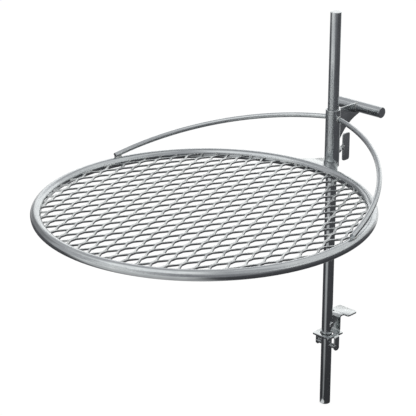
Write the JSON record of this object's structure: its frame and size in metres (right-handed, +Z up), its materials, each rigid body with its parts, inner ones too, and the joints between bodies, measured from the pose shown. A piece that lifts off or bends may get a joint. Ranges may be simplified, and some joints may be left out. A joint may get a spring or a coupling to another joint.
{
  "type": "swivel grill grate on post",
  "caption": "Round expanded-metal grill grate in a tube ring, on a sleeve that slides and swings on a ground post with a lock screw, a cross handle and a foot step.",
  "frame": {"origin": "centre of the post's bottom end", "axes": "+Z up the post, +Y from the middle of the grate out through the post to the handle, +X along the handle"},
  "size_m": [0.6095, 0.7354, 0.81],
  "materials": {
    "post_pipe": "ground and lightly polished stainless pipe",
    "ring_tube": "polished stainless tube",
    "expanded_metal": "mill-finish stainless expanded sheet",
    "round_bar": "bright drawn stainless rod",
    "cut_sheet": "satin stainless sheet, laser cut",
    "fastener": "plain stainless fastener",
    "weld_bead": "brushed stainless weld bead"
  },
  "bodies": {
    "post": {"post_tube": "post_pipe", "post_top_plug": "post_pipe", "post_foot_plug": "post_pipe", "stop_pin": "fastener"},
    "step": {"step_bracket": "cut_sheet", "cross_stud": "fastener"},
    "collar": {"collar_sleeve": "post_pipe"},
    "grill": {"collar_plate": "cut_sheet", "grate_ring": "ring_tube", "grate_mesh": "expanded_metal", "hoop_left": "round_bar", "hoop_right": "round_bar", "handle_gusset": "cut_sheet", "handle_bar": "post_pipe", "handle_plugs": "post_pipe", "lock_nut": "fastener", "plate_welds": "weld_bead", "hoop_top_welds": "weld_bead", "hoop_foot_welds": "weld_bead", "gusset_welds": "weld_bead", "nut_weld": "weld_bead"},
    "lock_screw": {"lock_bolt": "fastener", "lock_paddle": "cut_sheet", "paddle_weld": "weld_bead"}
  },
  "joints": [
    {"name": "height_slide", "type": "slide", "parent": "post", "child": "collar", "axis": [0, 0, 1], "range_m": [-0.305, 0.185]},
    {"name": "grill_swing", "type": "hinge", "parent": "collar", "child": "grill", "pos_m": [0, 0, 0.566], "axis": [0, 0, 1], "continuous": true},
    {"name": "lock_turn", "type": "hinge", "parent": "grill", "child": "lock_screw", "pos_m": [0, 0.0315, 0.5385], "axis": [0, 1, 0], "range_deg": [0, 360]},
    {"name": "step_rock", "type": "hinge", "parent": "post", "child": "step", "pos_m": [0, 0, 0.1323], "axis": [1, 0, 0], "range_deg": [-5.5, 5.5]}
  ]
}
